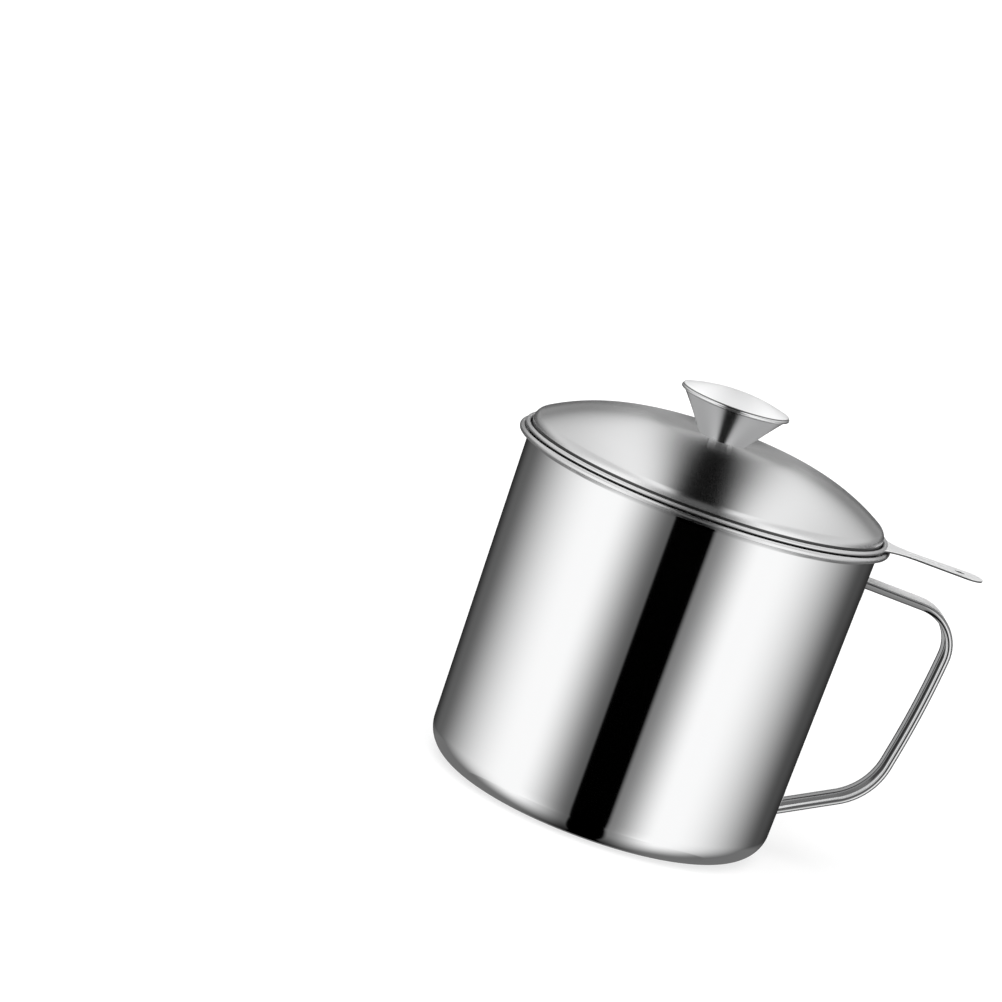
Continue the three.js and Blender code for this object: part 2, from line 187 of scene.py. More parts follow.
# On the wall the light goes by angle. On the foot it does so too, seen from a place behind the
# middle that keeps the gap as wide as it looks from the container's round bottom corner.
on_foot = smooth_rise(split.outputs["Z"], TENT_FOOT + 0.1, TENT_FOOT + 0.2, 1, 0)
spread = smooth_rise(split.outputs["Z"], TENT_FOOT, LOW_WALL_DEPTH, LOW_WALL_SPREAD, -1)
forward = math_node(nodes, links, "MULTIPLY", split.outputs["Y"], spread)
foot_forward = math_node(nodes, links, "MULTIPLY_ADD", split.outputs["Y"], FOOT_SLANT, FOOT_EYE)
foot_forward = math_node(nodes, links, "MAXIMUM", foot_forward, FOOT_LEAST)
step = math_node(nodes, links, "SUBTRACT", foot_forward, forward)
forward = math_node(nodes, links, "MULTIPLY_ADD", on_foot, step, forward)
angle = math_node(nodes, links, "ARCTAN2", split.outputs["X"], forward)
share = math_node(nodes, links, "MULTIPLY_ADD", angle, 0.5 / math.pi, 0.5)
ramp = ramp_node(nodes, WALL_STOPS, -180, 180)
links.new(share, ramp.inputs[0])
gap_light = smooth_rise(split.outputs["Z"], TENT_RADIUS * -0.15, TENT_RADIUS * -0.08, 0, GAP_GLOW)
lit = math_node(nodes, links, "MAXIMUM", ramp.outputs[0], gap_light)
fading = smooth_rise(split.outputs["Y"], TENT_RADIUS * -0.5, TENT_RADIUS * 0.5, 0, FOOT_FADE)
fading = math_node(nodes, links, "MULTIPLY", on_foot, fading)
lit = math_node(nodes, links, "MULTIPLY", lit, math_node(nodes, links, "SUBTRACT", 1, fading))
behind = smooth_rise(split.outputs["Y"], TENT_RADIUS / 12, TENT_RADIUS / 1.5)
low = smooth_rise(split.outputs["Z"], TENT_RADIUS * -0.4, TENT_RADIUS * -0.2, LOW_BEHIND, 0)
off_foot = math_node(nodes, links, "SUBTRACT", 1, on_foot)
low_behind = math_node(nodes, links, "MULTIPLY", math_node(nodes, links, "MULTIPLY", behind, low), off_foot)
links.new(math_node(nodes, links, "MAXIMUM", lit, low_behind), glow.inputs["Strength"])
links.new(glow.outputs[0], output.inputs["Surface"])
wall.data.materials.append(material)
wall.visible_camera = False

# The tent's ceiling, lit by distance from the gap, and at its front by angle as the wall is
ceiling = stage_mesh("tent_ceiling", circle(TENT_RADIUS, TENT_TOP, TENT_STEPS), [tuple(range(TENT_STEPS))])
ceiling.rotation_euler.z = FRONT_TURN
material, nodes, links = new_material("tent_ceiling_light")
output = nodes.new("ShaderNodeOutputMaterial")
glow = nodes.new("ShaderNodeEmission")
place = nodes.new("ShaderNodeTexCoord")
split = nodes.new("ShaderNodeSeparateXYZ")
links.new(place.outputs["Object"], split.inputs[0])
forward = math_node(nodes, links, "MULTIPLY", split.outputs["Y"], -1)


def blended(share, first, second):
    shade = nodes.new("ShaderNodeMix")
    shade.data_type = "RGBA"
    for value, socket in ((share, "Factor"), (first, "A"), (second, "B")):
        links.new(value, shade.inputs[socket])
    return shade.outputs["Result"]


spread = math_node(nodes, links, "MULTIPLY", math_node(nodes, links, "MAXIMUM", forward, 0), -GAP_SPREAD)
across = math_node(nodes, links, "ADD", math_node(nodes, links, "ABSOLUTE", split.outputs["X"]), spread)
share = math_node(nodes, links, "DIVIDE", across, TENT_TOP * OVERHEAD_STOPS[-1][0])
levels = []
for stops in (OVERHEAD_STOPS, BEHIND_STOPS):
    ramp = ramp_node(nodes, stops, 0, stops[-1][0])
    links.new(share, ramp.inputs[0])
    levels.append(ramp.outputs[0])
shade = blended(smooth_rise(split.outputs["Y"], TENT_TOP, TENT_TOP * 4), *levels)
angle = math_node(nodes, links, "ARCTAN2", split.outputs["X"], forward)
ramp = ramp_node(nodes, WALL_STOPS, -180, 180)
links.new(math_node(nodes, links, "MULTIPLY_ADD", angle, 0.5 / math.pi, 0.5), ramp.inputs[0])
shade = blended(smooth_rise(forward, TENT_TOP * 0.4, TENT_TOP * 1.4), shade, ramp.outputs[0])
gap_light = smooth_rise(forward, TENT_TOP * 0.35, TENT_TOP * 0.8, 0, GAP_GLOW)
shade = math_node(nodes, links, "MAXIMUM", shade, gap_light)
links.new(shade, glow.inputs["Strength"])
links.new(glow.outputs[0], output.inputs["Surface"])
ceiling.data.materials.append(material)
ceiling.visible_camera = False

# A soft lamp brings matt surfaces to a plain level. The tent stands for it in the steel.
LAMP_SIZE = 3
LAMP_POWER = 62
LAMP_PLACE = (-0.3, -0.9, 2.2)
LAMP_AIM = Vector((0, 0, 0.1))
lamp_data = bpy.data.lights.new("overhead", "AREA")
lamp_data.shape = "DISK"
lamp_data.size = LAMP_SIZE
lamp_data.energy = LAMP_POWER
lamp = bpy.data.objects.new("overhead", lamp_data)
lamp.location = LAMP_PLACE
lamp.rotation_euler = (LAMP_AIM - lamp.location).to_track_quat("-Z", "Y").to_euler()
lamp.visible_glossy = False
bpy.context.collection.objects.link(lamp)

# The surround is white to the lens and in the steel, and dimmer as a light
SURROUND_LIGHT = 0.24
world = bpy.data.worlds.new("surround")
bpy.context.scene.world = world
world.use_nodes = True
nodes, links = world.node_tree.nodes, world.node_tree.links
nodes.clear()
output = nodes.new("ShaderNodeOutputWorld")
glow = nodes.new("ShaderNodeBackground")
level = math_node(nodes, links, "MAXIMUM", seen_rays(nodes, links), SURROUND_LIGHT)
glow.inputs["Color"].default_value = (1, 1, 1, 1)
links.new(level, glow.inputs["Strength"])
links.new(glow.outputs[0], output.inputs["Surface"])


# Cup: deep drawn from one disc of stainless sheet and mirror polished. The bottom corner is
# round, the wall leans in a little towards the base, and the mouth flares into a rolled bead.
MM = 0.001
CUP_SHEET = 0.6
BASE_CORNER = 10
FOOT_RADIUS = 58.4
MOUTH_RADIUS = 60
MOUTH_HEIGHT = 106.4
WALL_LEAN = 0.95
RIM_BEAD = 1
RIM_BEAD_AT = (62.6, 111.35)
TURN_STEPS = 240
ROUNDING_STEPS = 5
SAME_SPOT = 1e-6
# Painted shade: the width in mm over which a band at a gap between parts fades in, and its colour
PAINTED_SHADE_FADE = 0.2
PAINTED_SHADE_LEVEL = 0.1
BEAD_DULLING = 0.2
ROUND_STRETCH = 1.5
LINE_STRETCH = 0.02
PATCH_SCALE = 35


def run_points(item):
    """The points of one item of a section, and the way it faces at each: an arc or a drawn curve."""
    kind, *facts = item
    if kind == "arc":
        across, up, size, start, end, steps = facts
        side = 1 if end > start else -1
        points = []
        for i in range(steps + 1):
            angle = math.radians(start + (end - start) * i / steps)
            way = (math.cos(angle), math.sin(angle))
            points.append(((across + size * way[0], up + size * way[1]), (side * way[0], side * way[1])))
        return points
    first, pull, last, steps = facts
    points = []
    for i in range(steps + 1):
        t = i / steps
        spot = [(1 - t) ** 2 * a + 2 * t * (1 - t) * b + t * t * c for a, b, c in zip(first, pull, last)]
        slope = [(1 - t) * (b - a) + t * (c - b) for a, b, c in zip(first, pull, last)]
        size = math.hypot(*slope)
        points.append((tuple(spot), (slope[1] / size, -slope[0] / size)))
    return points


def straight_run(start, end):
    along = (end[0] - start[0], end[1] - start[1])
    size = math.hypot(*along)
    facing = (along[1] / size, -along[0] / size)
    return [(start, facing), (end, facing)]


def section_runs(items, closed=True):
    """A section as runs of (point, facing). Its items are corners (across, up), corners with a
    rounding (across, up, radius), arcs and drawn curves, in order round the metal."""
    ends = []
    for item in items:
        if isinstance(item[0], str):
            points = run_points(item)
            ends.append((points[0][0], points[-1][0]))
        else:
            ends.append((item[:2], item[:2]))
    runs, tail, head = [], None, None
    for i, item in enumerate(items):
        if isinstance(item[0], str):
            points = run_points(item)
        elif len(item) == 2:
            points = [(item, None)]
        else:
            corner = Vector(item[:2])
            back = (Vector(ends[i - 1][1]) - corner).normalized()
            ahead = (Vector(ends[(i + 1) % len(items)][0]) - corner).normalized()
            half = back.angle(ahead) / 2
            centre = corner + (back + ahead).normalized() * item[2] / math.sin(half)
            enter = corner + back * item[2] / math.tan(half) - centre
            sweep = math.pi - 2 * half
            turn = sweep if (-back).cross(ahead) > 0 else -sweep
            start = math.degrees(math.atan2(enter.y, enter.x))
            end = start + math.degrees(turn)
            points = run_points(("arc", centre.x, centre.y, item[2], start, end, ROUNDING_STEPS))
        if tail is not None and math.dist(tail, points[0][0]) > SAME_SPOT:
            runs.append(straight_run(tail, points[0][0]))
        if len(points) > 1:
            runs.append(points)
        head = head or points[0][0]
        tail = points[-1][0]
    if closed and math.dist(tail, head) > SAME_SPOT:
        runs.append(straight_run(tail, head))
    return runs


def spot_key(point):
    return round(point[0], 6), round(point[1], 6)


def smooth_piece(name, verts, faces, facings=None):
    """A piece in metres with a smooth shine, from the way its faces' corners face if that is given."""
    mesh = bpy.data.meshes.new(name)
    mesh.from_pydata(verts, [], faces)
    mesh.polygons.foreach_set("use_smooth", [True] * len(mesh.polygons))
    if facings:
        mesh.normals_split_custom_set(facings)
    piece = bpy.data.objects.new(name, mesh)
    bpy.context.collection.objects.link(piece)
    return piece


def formed(name, runs, stations, loop):
    """Sheet metal of one section carried along stations (origin, across, up), with the facing of
    each point kept, so that the polish runs smoothly over it. A loop joins its last station to
    its first, and other pieces are closed at both ends."""
    places, spots = {}, []
    for run in runs:
        for point, _ in run:
            if spot_key(point) not in places:
                places[spot_key(point)] = len(spots)
                spots.append(point)
    count = len(spots)
    verts, index = [], []
    for s, (origin, across, up) in enumerate(stations):
        ring = []
        for point in spots:
            if loop and abs(point[0]) < SAME_SPOT and s > 0:
                ring.append(index[0][len(ring)])
                continue
            ring.append(len(verts))
            verts.append((origin + across * point[0] + up * point[1]) * MM)
        index.append(ring)
    faces, facings = [], []
    spans = len(stations) if loop else len(stations) - 1
    for s in range(spans):
        near, far = s, (s + 1) % len(stations)
        for run in runs:
            for (a, face_a), (b, face_b) in zip(run, run[1:]):
                ia, ib = places[spot_key(a)], places[spot_key(b)]
                corners = [(near, ia, face_a), (far, ia, face_a), (far, ib, face_b), (near, ib, face_b)]
                loop_verts, loop_facings = [], []
                for station, place, facing in corners:
                    vert = index[station][place]
                    if vert in loop_verts:
                        continue
                    _, across, up = stations[station]
                    loop_verts.append(vert)
                    loop_facings.append((across * facing[0] + up * facing[1]).normalized())
                if len(loop_verts) > 2:
                    faces.append(loop_verts)
                    facings.extend(loop_facings)
    if not loop:
        order = [places[spot_key(a)] for run in runs for a, _ in run[:-1]]
        for ring, sign, (_, across, up) in ((index[0], 1, stations[0]), (index[-1], -1, stations[-1])):
            faces.append([ring[i] for i in order][::sign])
            facings.extend([across.cross(up).normalized() * sign] * len(order))
    return smooth_piece(name, verts, faces, facings)


def turned(name, items, steps=TURN_STEPS):
    """A section turned about the container's upright axis."""
    stations = []
    for i in range(steps):
        a = 2 * math.pi * i / steps
        stations.append((Vector((0, 0, 0)), Vector((math.cos(a), math.sin(a), 0)), Vector((0, 0, 1))))
    closed = isinstance(items[0][0], str) or abs(items[0][0]) > SAME_SPOT
    return formed(name, section_runs(items, closed), stations, True)


def polished_steel(name, light, roughness, wear, lines="round", grain=700, depth=0.0005, spin=0, metal=1,
                   painted_shade_bands=(), rolled=None):
    """Stainless steel polished on a wheel. Fine lines, so many to a metre and so deep in mm, run
    round the piece or along one of its axes, spin spreads the shine across them, and faint rubbed
    patches change it a little. In bands (middle, half height) the colour darkens: painted shade for
    the gaps between parts. The wheel leaves the rolled bead above the height rolled duller."""
    material, nodes, links = new_material(name)
    output = nodes.new("ShaderNodeOutputMaterial")
    steel = nodes.new("ShaderNodeBsdfPrincipled")
    steel.inputs["Metallic"].default_value = metal
    steel.inputs["Anisotropic"].default_value = spin
    steel.inputs["Anisotropic Rotation"].default_value = 0.25 if spin else 0
    place = nodes.new("ShaderNodeTexCoord")
    along = nodes.new("ShaderNodeCombineXYZ")
    split = nodes.new("ShaderNodeSeparateXYZ")
    links.new(place.outputs["Object"], split.inputs[0])
    if lines == "round":
        angle = math_node(nodes, links, "ARCTAN2", split.outputs["Y"], split.outputs["X"])
        links.new(math_node(nodes, links, "MULTIPLY", angle, ROUND_STRETCH * MM), along.inputs["X"])
        square = math_node(nodes, links, "MULTIPLY", split.outputs["X"], split.outputs["X"])
        square = math_node(nodes, links, "MULTIPLY_ADD", split.outputs["Y"], split.outputs["Y"], square)
        links.new(math_node(nodes, links, "SQRT", square), along.inputs["Y"])
        links.new(split.outputs["Z"], along.inputs["Z"])
    else:
        for axis in "XYZ":
            stretch = LINE_STRETCH if axis == lines else 1
            links.new(math_node(nodes, links, "MULTIPLY", split.outputs[axis], stretch), along.inputs[axis])
    bright = (light, light + 0.002, light + 0.005, 1)
    height = split.outputs["Z"]
    # Painted shade: within each band round a gap between parts, the steel's colour darkens
    if painted_shade_bands:
        painted_shade_mask = 0
        for middle, half in painted_shade_bands:
            away = math_node(nodes, links, "SUBTRACT", height, middle * MM)
            away = math_node(nodes, links, "ABSOLUTE", away)
            shade_band = nodes.new("ShaderNodeMapRange")
            shade_band.interpolation_type = "SMOOTHSTEP"
            shade_band.inputs["From Min"].default_value = half * MM
            shade_band.inputs["From Max"].default_value = (half - PAINTED_SHADE_FADE) * MM
            links.new(away, shade_band.inputs["Value"])
            painted_shade_mask = math_node(nodes, links, "MAXIMUM", shade_band.outputs[0], painted_shade_mask)
        painted_shade_mix = nodes.new("ShaderNodeMix")
        painted_shade_mix.data_type = "RGBA"
        painted_shade_mix.inputs["A"].default_value = bright
        painted_shade_mix.inputs["B"].default_value = (PAINTED_SHADE_LEVEL, PAINTED_SHADE_LEVEL, PAINTED_SHADE_LEVEL, 1)
        links.new(painted_shade_mask, painted_shade_mix.inputs["Factor"])
        links.new(painted_shade_mix.outputs["Result"], steel.inputs["Base Color"])
    else:
        steel.inputs["Base Color"].default_value = bright
    brushed = nodes.new("ShaderNodeTexNoise")
    brushed.inputs["Scale"].default_value = grain
    brushed.inputs["Detail"].default_value = 4
    links.new(along.outputs[0], brushed.inputs["Vector"])
    patches = nodes.new("ShaderNodeTexNoise")
    patches.inputs["Scale"].default_value = PATCH_SCALE
    patches.inputs["Detail"].default_value = 5
    patches.inputs["Roughness"].default_value = 0.6
    links.new(place.outputs["Object"], patches.inputs["Vector"])
    shine = math_node(nodes, links, "MULTIPLY_ADD", brushed.outputs[0], wear, roughness - wear)
    shine = math_node(nodes, links, "MULTIPLY_ADD", patches.outputs[0], wear, shine)
    if rolled:
        bead = math_node(nodes, links, "GREATER_THAN", height, rolled * MM)
        shine = math_node(nodes, links, "MULTIPLY_ADD", bead, BEAD_DULLING, shine)
    links.new(shine, steel.inputs["Roughness"])
    bump = nodes.new("ShaderNodeBump")
    bump.inputs["Strength"].default_value = 1
    bump.inputs["Distance"].default_value = depth * MM
    links.new(brushed.outputs[0], bump.inputs["Height"])
    links.new(bump.outputs[0], steel.inputs["Normal"])
    if spin:
        tangent = nodes.new("ShaderNodeTangent")
        tangent.direction_type = "RADIAL"
        tangent.axis = "Z"
        links.new(tangent.outputs[0], steel.inputs["Tangent"])
    links.new(steel.outputs[0], output.inputs["Surface"])
    return material


def placed(piece, body, slot, material, *nodes):
    """Gives a piece its finish and lets it move with its body, in place of its plain solids."""
    piece.data.materials.append(material)
    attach(piece, body)
    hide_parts(*nodes)


cup_steel = polished_steel("mirror_cup_steel", 0.96, 0.065, 0.012, grain=900, depth=0.0002, spin=0.8,
                           rolled=110.5)
corner_at = (FOOT_RADIUS - BASE_CORNER, BASE_CORNER)
bead_reach = RIM_BEAD * math.sqrt(0.5)
flare_end = (RIM_BEAD_AT[0] - bead_reach, RIM_BEAD_AT[1] - bead_reach)
bead_inside = (RIM_BEAD_AT[0] - RIM_BEAD, RIM_BEAD_AT[1])
cup = turned("cup", [
    (0, 0),
    ("arc", *corner_at, BASE_CORNER, -90, -WALL_LEAN, 24),
    ("bend", (60.04, 108.9), (60.06, 109.9), flare_end, 10),
    ("arc", *RIM_BEAD_AT, RIM_BEAD, -135, 180, 28),
    ("bend", bead_inside, (59.46, 108.9), (MOUTH_RADIUS - CUP_SHEET, MOUTH_HEIGHT), 10),
    ("arc", *corner_at, BASE_CORNER - CUP_SHEET, -WALL_LEAN, -90, 20),
    (0, CUP_SHEET),
])
placed(cup, "cup", "polished_steel", cup_steel, "cup_shell")


# Cup handle: a stamped strap with both edges rolled inwards, bent to a D and spot welded to the
# wall by a tongue at each end. Its web is flat, and its two beads catch the light as lines.
STRAP_HALF_WEB = 4.75
STRAP_BEAD = 1.25
STRAP_SHEET = 0.7
STRAP_ROUTE = ((58, 99.54), (95.9, 97.85), (93.15, 63.69), (87.2, 31.02), (56.5, 14.85))
STRAP_BENDS = (15, 330, 24)
BEND_STEPS = 16
BEAD_STEPS = 22
INSIDE_STEPS = 10
TONGUE_HALF = 3.2
TONGUE_CORNER = 2.2
TONGUE_LENGTH = 7.5
TONGUE_SHEET = (0.03, 0.73)
WELD_RADIUS = 1.7
handle_steel = polished_steel("handle_steel", 0.93, 0.1, 0.03, lines="Z")
strap_corners = [Vector((out, 0, up)) for out, up in STRAP_ROUTE]
inner_bead = STRAP_BEAD - STRAP_SHEET
strap_runs = section_runs([
    ("arc", STRAP_HALF_WEB, STRAP_BEAD, STRAP_BEAD, -90, 120, BEAD_STEPS),
    ("arc", STRAP_HALF_WEB, STRAP_BEAD, inner_bead, 120, -90, INSIDE_STEPS),
    ("arc", -STRAP_HALF_WEB, STRAP_BEAD, inner_bead, -90, -300, INSIDE_STEPS),
    ("arc", -STRAP_HALF_WEB, STRAP_BEAD, STRAP_BEAD, -300, -90, BEAD_STEPS),
])


def strap_station(spot, along):
    """Across the strap, and in towards the cup."""
    return spot, Vector((0, 1, 0)), Vector((0, 1, 0)).cross(along)


def wall_radius(height):
    rise = (height - BASE_CORNER) / (MOUTH_HEIGHT - BASE_CORNER)
    return FOOT_RADIUS + (MOUTH_RADIUS - FOOT_RADIUS) * rise


first_way = (strap_corners[1] - strap_corners[0]).normalized()
last_way = (strap_corners[-1] - strap_corners[-2]).normalized()
strap_stations = [strap_station(strap_corners[0], first_way)]
for i, bend in enumerate(STRAP_BENDS):
    corner = strap_corners[i + 1]
    back, ahead = (strap_corners[i] - corner).normalized(), (strap_corners[i + 2] - corner).normalized()
    half = back.angle(ahead) / 2
    room = min((strap_corners[i] - corner).length, (strap_corners[i + 2] - corner).length)
    reach = min(bend / math.tan(half), room / 2)
    centre = corner + (back + ahead).normalized() * reach / math.cos(half)
    start, end = corner + back * reach - centre, corner + ahead * reach - centre
    sweep = start.angle(end)
    turn_axis = start.cross(end).normalized()
    for step in range(BEND_STEPS + 1):
        turn = Matrix.Rotation(sweep * step / BEND_STEPS, 3, turn_axis)
        strap_stations.append(strap_station(centre + turn @ start, (turn @ -back).normalized()))
strap_stations.append(strap_station(strap_corners[-1], last_way))
handle = formed("handle", strap_runs, strap_stations, False)

# The inside of the strap and the corners of its beads get darker copies of the steel, painted
# shade in its recesses, and the web is satin. The faces of each stretch come in the order of the
# section, and the same way back.
BRIGHT, INSIDE, CORNER, WEB = range(4)
WEB_CORNER_STEPS = 7
CURL_CORNER_STEPS = 4
inside_painted_shade_steel = polished_steel("handle_inside_painted_shade", 0.4, 0.16, 0.05, lines="Z")
corner_painted_shade_steel = polished_steel("handle_corner_painted_shade", 0.3, 0.2, 0.05, lines="Z")
web_steel = polished_steel("handle_web_steel", 0.96, 0.36, 0.05, lines="Z", metal=0.4)
bright_steps = BEAD_STEPS - WEB_CORNER_STEPS - CURL_CORNER_STEPS
side = [CORNER] * WEB_CORNER_STEPS + [BRIGHT] * bright_steps + [CORNER] * CURL_CORNER_STEPS
side += [INSIDE] * (INSIDE_STEPS + 1)
finishes = side + [INSIDE] + side[::-1] + [WEB]
for face in list(handle.data.polygons)[:-2]:
    face.material_index = finishes[face.index % len(finishes)]

# Each end of the strap is trimmed to the round of the wall
TRIM_ROUNDS = 6
ring_size = len(handle.data.vertices) // len(strap_stations)
for first, way in ((0, -first_way), (len(handle.data.vertices) - ring_size, last_way)):
    for vert in list(handle.data.vertices)[first:first + ring_size]:
        for _ in range(TRIM_ROUNDS):
            reach = math.hypot(vert.co.x, vert.co.y) / MM
            short = wall_radius(vert.co.z / MM) - reach
            vert.co += way * short * reach * MM * MM / (way.x * vert.co.x)
placed(handle, "cup", "polished_steel", handle_steel, "handle_strap")
for finish in (inside_painted_shade_steel, corner_painted_shade_steel, web_steel):
    handle.data.materials.append(finish)

# The photograph shows no image of the handle in the wall
handle.visible_glossy = False


EDGE_STEPS = 4
PRESS_STEPS = 6
PRESS_SLOPE = 0.6


def plate(name, outline, holes, presses, low, high, edge, axes):
    """Flat sheet between two heights, its cut edges a little rounded. Holes go through it, and
    presses (outline, slope, depth) are struck into its upper face. Outlines run with the metal
    on their left. axes gives the place of a spot of the plan, and the sheet's three ways there."""
    verts, faces, facings = [], [], []

    def facing_at(u, v, facing):
        _, along, across, face = axes(u, v)
        return (along * facing[0] + across * facing[1] + face * facing[2]).normalized()

    def edge_band(loop, levels):
        outs = []
        for i in range(len(loop)):
            way = Vector(loop[(i + 1) % len(loop)]) - Vector(loop[i - 1])
            outs.append(Vector((way.y, -way.x)).normalized())
        rings = []
        for out, height, face_out, face_up in levels:
            ring = []
            for spot, side in zip(loop, outs):
                u, v = Vector(spot) + side * out
                place, _, _, face = axes(u, v)
                facing = facing_at(u, v, (side.x * face_out, side.y * face_out, face_up))
                ring.append((len(verts), u, v, facing))
                verts.append((place + face * height) * MM)
            rings.append(ring)
        for upper, lower in zip(rings, rings[1:]):
            for i in range(len(loop)):
                j = (i + 1) % len(loop)
                corners = (upper[i], lower[i], lower[j], upper[j])
                faces.append([c[0] for c in corners])
                facings.extend([c[3] for c in corners])
        return rings[0], rings[-1]

    def flat_face(rings, up):
        spots = [spot for ring in rings for spot in ring]
        for corners in tessellate_polygon([[Vector((u, v, 0)) for _, u, v, _ in ring] for ring in rings]):
            a, b, c = (Vector(spots[i][1:3]) for i in corners)
            order = corners if ((b - a).cross(c - a) > 0) == (up > 0) else corners[::-1]
            faces.append([spots[i][0] for i in order])
            facings.extend([facing_at(spots[i][1], spots[i][2], (0, 0, up)) for i in order])

    cut_edge = []
    for height, start in ((high - edge, 90), (low + edge, 0)):
        for i in range(EDGE_STEPS + 1):
            a = math.radians(start - 90 * i / EDGE_STEPS)
            out, up = math.cos(a), math.sin(a)
            cut_edge.append((edge * (out - 1), height + edge * up, out, up))
    tops, unders = zip(*[edge_band(loop, cut_edge) for loop in (outline, *holes)])
    struck = []
    for loop, slope, depth in presses:
        levels = []
        for i in range(PRESS_STEPS + 1):
            t = i / PRESS_STEPS
            lean = depth / slope * 6 * t * (1 - t)
            size = math.hypot(1, lean)
            levels.append((slope * t, high - depth * t * t * (3 - 2 * t), lean / size, 1 / size))
        rim, floor_ring = edge_band(loop, levels)
        struck.append(rim)
        flat_face([floor_ring], 1)
    flat_face([*tops, *struck], 1)
    flat_face(unders, -1)
    return smooth_piece(name, verts, faces, facings)


def plan_arc(u, v, radius, start, end, steps):
    return [point for point, _ in run_points(("arc", u, v, radius, start, end, steps))]


def on_wall(u, v):
    """The cup's wall at a place across and up, with its ways across, up and out."""
    reach = wall_radius(v)
    out = Vector((math.cos(u / reach), math.sin(u / reach), 0))
    return out * reach + Vector((0, 0, v)), Vector((-out.y, out.x, 0)), Vector((0, 0, 1)), out


def tongue(name, joined, way):
    """A welding tongue down (1) or up (-1) from the strap, with two round corners at its free end
    and the dimple of its spot weld."""
    free = joined - TONGUE_LENGTH * way
    corner_height = free + TONGUE_CORNER * way
    side = TONGUE_HALF - TONGUE_CORNER
    outline = [(-TONGUE_HALF, joined)]
    outline += plan_arc(-side, corner_height, TONGUE_CORNER, 180, 180 + 90 * way, 8)
    outline += plan_arc(side, corner_height, TONGUE_CORNER, -90 * way, 0, 8)
    outline += [(TONGUE_HALF, joined)]
    weld = plan_arc(0, (joined + free) / 2, WELD_RADIUS, 360, 15, 23)
    piece = plate(name, outline[::way], [], [(weld, PRESS_SLOPE, 0.14)], *TONGUE_SHEET, 0.15, on_wall)
    placed(piece, "cup", "polished_steel", handle_steel, "handle_strap")


tongue("handle_top_tongue", 99.1, 1)
tongue("handle_low_tongue", 16.6, -1)


# Strainer: a drawn ring whose rolled bead rests on the cup's bead. Its ledge carries the lid, and
# its short wall goes down to a lip that holds the net. A flat strip handle is welded to the bead.
STRAINER_TURN = math.radians(-8)
STRAINER_SHEET = 0.5
STRAINER_BEAD = 0.85
STRAINER_BEAD_AT = (61.35, 113.1)
LEDGE_HEIGHT = 112.2
FLOOR_LIP = 51.5
FLOOR_HEIGHT = 89
strainer_steel = polished_steel("strainer_steel", 0.94, 0.1, 0.03)
# The ring darkens from 111.5 to 113.1 mm, the lower half of its bead and its ledge: painted shade for the
# gaps between the beads and under the lid.
rim_steel = polished_steel("strainer_rim_steel", 0.94, 0.1, 0.03, painted_shade_bands=[(112.3, 0.8)], rolled=112.5)
ring = turned("strainer_ring", [
    (FLOOR_LIP, FLOOR_HEIGHT - STRAINER_SHEET, 0.2),
    (55.5, FLOOR_HEIGHT - STRAINER_SHEET, 1),
    (58.7, LEDGE_HEIGHT - STRAINER_SHEET, 0.3),
    (61, LEDGE_HEIGHT - STRAINER_SHEET, 0.3),
    ("arc", *STRAINER_BEAD_AT, STRAINER_BEAD, -114.3, 180, 24),
    (STRAINER_BEAD_AT[0] - STRAINER_BEAD, LEDGE_HEIGHT, 0.3),
    (58.2, LEDGE_HEIGHT, 0.3),
    (55, FLOOR_HEIGHT, 0.5),
    (FLOOR_LIP, FLOOR_HEIGHT, 0.2),
])
placed(ring, "strainer", "strainer_steel", rim_steel, "strainer_frame")

STRIP_HALF = 4.3
STRIP_ROOT = (60.91, 10.97)
STRIP_ROOT_RADIUS = 60.9
STRIP_END = 89.5
STRIP_END_RADIUS = 5.2
STRIP_SHEET = (112.65, 113.45)
HOLE_RADIUS = 1.7
GROOVE_RADIUS = 1.1
# The strip's lower face and the lower part of its edge are darkened: painted shade.
strip_steel = polished_steel("strip_steel", 0.96, 0.42, 0.05, lines="X", metal=0.58, painted_shade_bands=[(112.6, 0.7)])


def on_strainer(u, v):
    """The plan of the strainer, turned as it rests in the cup."""
    along = Vector((math.cos(STRAINER_TURN), math.sin(STRAINER_TURN), 0))
    across = Vector((-along.y, along.x, 0))
    return along * u + across * v, along, across, Vector((0, 0, 1))


def plan_bend(first, pull, last):
    return [point for point, _ in run_points(("bend", first, pull, last, 16))]


root_angle = math.degrees(math.atan2(STRIP_ROOT[1], STRIP_ROOT[0]))
strip_outline = plan_bend((STRIP_ROOT[0], -STRIP_ROOT[1]), (64.2, -STRIP_HALF), (72.2, -STRIP_HALF))
strip_outline += plan_arc(STRIP_END, 0, STRIP_END_RADIUS, -90, 90, 28)
strip_outline += plan_bend((72.2, STRIP_HALF), (64.2, STRIP_HALF), STRIP_ROOT)
strip_outline += plan_arc(0, 0, STRIP_ROOT_RADIUS, root_angle, -root_angle, 16)
hang_hole = plan_arc(86.8, 0, HOLE_RADIUS, 360, 15, 23)
groove = plan_arc(80.9, 0, GROOVE_RADIUS, 90, -90, 12) + plan_arc(70.1, 0, GROOVE_RADIUS, -90, -270, 12)
strip = plate("strainer_strip", strip_outline, [hang_hole], [(groove, PRESS_SLOPE, 0.3)], *STRIP_SHEET, 0.25,
              on_strainer)
placed(strip, "strainer", "strainer_steel", strip_steel, "strainer_frame")


